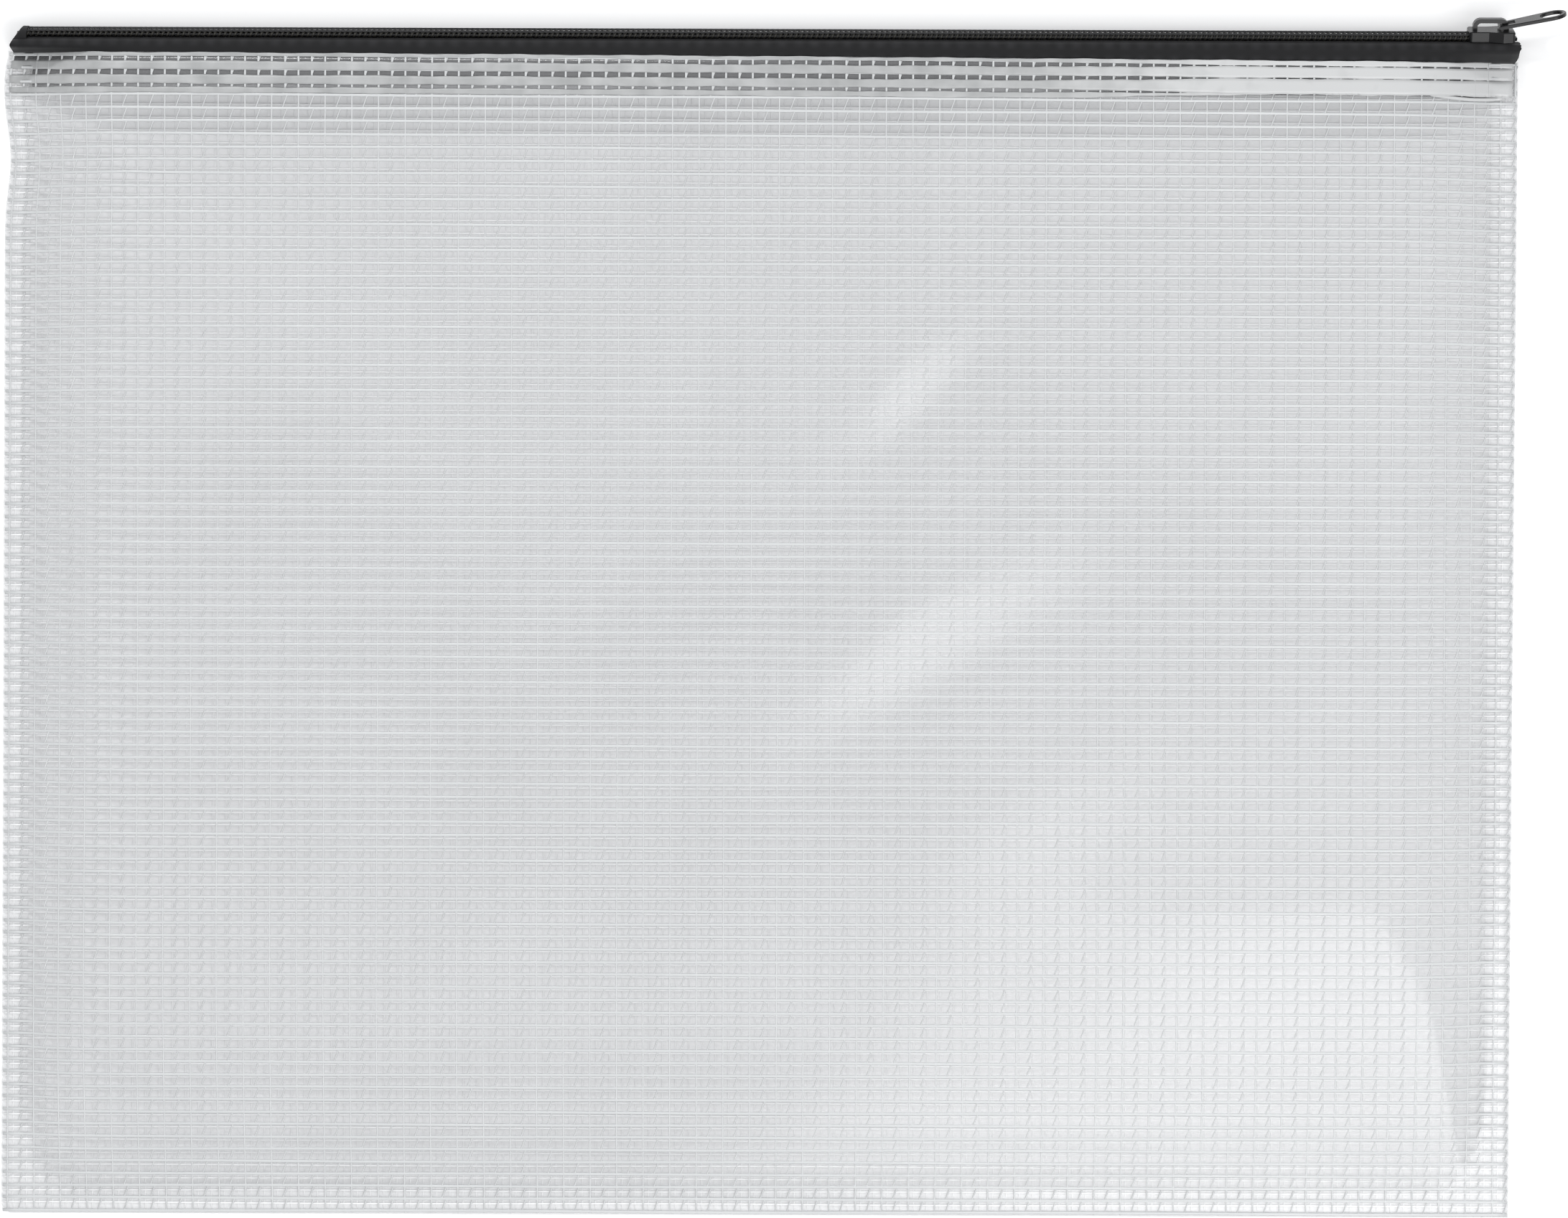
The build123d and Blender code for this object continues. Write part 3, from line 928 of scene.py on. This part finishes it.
# %% The coils
coil_pitch = 1.2 * MM
coil_left = 5.6 * MM - half_width  # the first turns are under the folded end
coil_turns = 282
wire = 0.28 * MM
coil_middle = 0.7 * MM
coil_half = 1.14 * MM
coil_out = 1.05 * MM
coil_rise = 0.53 * MM
points_per_turn = 12


def coil_line(hand, start):
    turn = np.arange(coil_turns * points_per_turn) * 2 * pi / points_per_turn
    x = start + coil_pitch / (2 * pi) * (turn - pi + 0.8 * np.sin(turn))
    v = hand * (coil_middle + coil_half * np.cos(turn))
    n = coil_out + coil_rise * np.sin(turn)
    return zip_point(x, v, n)


coil_edge = 2.1 * MM
for name, hand, start in (("front", 1, coil_left), ("back", -1, coil_left + coil_pitch / 2)):
    coil_skin = Skin()
    coil_skin.tubes(wire_rings(coil_line(hand, start), wire, 6, along))
    coil = make_piece(name + "_wire_coil", coil_skin, coil_finish, "wallet")
    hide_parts(name + "_coil")
    tuple(zip_point(0.0, hand * coil_edge, coil_out))
    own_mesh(coil)

# %% [markdown]
# ## Cords and stitching
# Inside each coil runs a twisted cord, and three rows of chain stitch hold coil and cord to the tape. The
# cord is two strands wound round each other, and the stitches are a thread that steps from leg to leg.

# %% Cords and stitching
coil_right = coil_left + coil_turns * coil_pitch
cord_x = np.arange(coil_left, coil_right, 0.6 * MM)
cord_middle = 1.72 * MM
cord_twist = 3.6 * MM  # length of one turn of the two strands
strand_radius = 0.16 * MM
strand_across = 0.1 * MM  # how far a strand winds about the cord's middle
strand_out = 0.12 * MM
stitch_x = np.arange(coil_left, coil_right, coil_pitch / 2)
stitch_rows = [0.7 * MM, 1.2 * MM, 1.75 * MM]
stitch_sway = 0.12 * MM
stitch_high = 1.84 * MM
stitch_low = 1.76 * MM
thread_radius = 0.14 * MM
for name, hand in (("front", 1), ("back", -1)):
    cord_skin = Skin()
    for phase in (0.0, pi):
        twist = cord_x / cord_twist * 2 * pi + phase
        strand = zip_point(
            cord_x,
            hand * (cord_middle + strand_across * np.cos(twist)),
            coil_out + strand_out * np.sin(twist),
        )
        cord_skin.tubes(wire_rings(strand, strand_radius, 6, across))
    cord = make_piece(name + "_twisted_cord", cord_skin, cord_finish, "wallet")
    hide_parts(name + "_coil_cord")
    stitch_skin = Skin()
    step = np.arange(len(stitch_x)) % 2
    for row in stitch_rows:
        v = hand * (row + stitch_sway * (2 * step - 1))
        n = np.where(step == 0, stitch_high, stitch_low)
        stitch_skin.tubes(wire_rings(zip_point(stitch_x, v, n), thread_radius, 5, across))
    stitching = make_piece(name + "_stitching", stitch_skin, thread_finish, "wallet")
    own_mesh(stitching)

# %% [markdown]
# ## Slider and tab
# The castings have the right shape in the frame already, so they stay, and only get their enamel and the
# softened edges that a thick coat gives.

# %% Slider and tab
for node in ("slider_body", "pull_tab"):
    casting = frame["nodes"][node]
    casting.data.materials.clear()
    casting.data.materials.append(enamel_finish)
    edges = casting.modifiers.new("soft_edges", "BEVEL")
    edges.width = 0.12 * MM
    edges.segments = 2
    edges.limit_method = "ANGLE"
    edges.angle_limit = radians(35)
    edges.harden_normals = True
    print(node, len(casting.data.polygons), "faces in enamel")

# %% [markdown]
# ## Floor, light and camera
# The wallet was photographed from straight above on white. The floor is white paper in soft light. Rays
# that show it to the eye get enough extra to read as pure white, and the shadow stays. A wide softbox
# stands where its mirror image in the film makes the bright patch at the lower right. A narrow one behind
# the zip, on the left, gives the metal its highlights. The rest is even light from all round.


# %% Floor
def seen_directly(tree):
    """1 for rays that show the background: to the eye, in a mirror or through glass."""
    path = add(tree, "ShaderNodeLightPath")
    two = add(
        tree,
        "ShaderNodeMath",
        {0: path.outputs["Is Camera Ray"], 1: path.outputs["Is Glossy Ray"]},
        operation="MAXIMUM",
    )
    three = add(
        tree,
        "ShaderNodeMath",
        {0: two.outputs[0], 1: path.outputs["Is Transmission Ray"]},
        operation="MAXIMUM",
    )
    return three.outputs[0]


def white_paper():
    material, tree, output = new_material("white_paper")
    paper = add(tree, "ShaderNodeBsdfDiffuse", {"Color": linear("#ffffff")})
    extra = 0.11  # what the soft light lacks to pure white
    lift = add(tree, "ShaderNodeMath", {0: seen_directly(tree), 1: extra}, operation="MULTIPLY")
    glow = add(tree, "ShaderNodeEmission", {"Strength": lift.outputs[0]})
    both = add(tree, "ShaderNodeAddShader", {0: paper.outputs[0], 1: glow.outputs[0]})
    tree.links.new(both.outputs[0], output.inputs["Surface"])
    return material


floor_mesh = bpy.data.meshes.new("floor")
floor_reach = 30.0
floor_level = -0.2 * MM
corners = [(-1, -1), (1, -1), (1, 1), (-1, 1)]
floor_mesh.from_pydata(
    [(x * floor_reach, y * floor_reach, floor_level) for x, y in corners],
    [],
    [(0, 1, 2, 3)],
)
floor_mesh.materials.append(white_paper())
floor = bpy.data.objects.new("floor", floor_mesh)
bpy.context.scene.collection.objects.link(floor)
print("floor at", floor_level)


# %% Light
def softbox(name, place, tilt, turn, width, length, radiance):
    """A rectangular area light. Untilted it shines straight down; tilt and turn are in degrees."""
    lamp = bpy.data.lights.new(name, "AREA")
    lamp.shape = "RECTANGLE"
    lamp.size = width
    lamp.size_y = length
    lamp.energy = radiance * pi * width * length
    holder = bpy.data.objects.new(name, lamp)
    bpy.context.scene.collection.objects.link(holder)
    holder.location = place
    holder.rotation_euler = (radians(tilt), 0.0, radians(turn))
    print(name, "energy", round(lamp.energy, 2))


softbox("wide_softbox", (0.6, -0.635, 1.2), tilt=0.0, turn=-9.0, width=1.1, length=1.0, radiance=3.1)
softbox("rear_softbox", (-0.45, 0.8, 0.9), tilt=-38.0, turn=0.0, width=0.8, length=0.1, radiance=17.0)

world = bpy.data.worlds.new("even_light")
bpy.context.scene.world = world
world.use_nodes = True
sky = world.node_tree
sky.nodes.clear()
room_level = 0.66
surround = add(sky, "ShaderNodeBackground", {"Color": linear("#fcfdff"), "Strength": room_level})
add(sky, "ShaderNodeOutputWorld", {"Surface": surround.outputs[0]})
print("room light", room_level)

# %% Camera
camera_height = 1.2
camera_place = (6.5 * MM, 7.0 * MM, camera_height + film_top)
camera_roll = 0.2  # degrees
frame_width = 361.4 * MM  # what the picture spans at the film
camera_data = bpy.data.cameras.new("camera")
camera_data.sensor_width = 36.0
camera_data.sensor_fit = "HORIZONTAL"
camera_data.lens = camera_data.sensor_width * camera_height / frame_width
camera = bpy.data.objects.new("camera", camera_data)
camera.location = camera_place
camera.rotation_euler = (0.0, 0.0, radians(camera_roll))
bpy.context.scene.collection.objects.link(camera)
bpy.context.scene.camera = camera
bpy.context.scene.view_settings.view_transform = "Standard"
print("lens", round(camera_data.lens, 1))
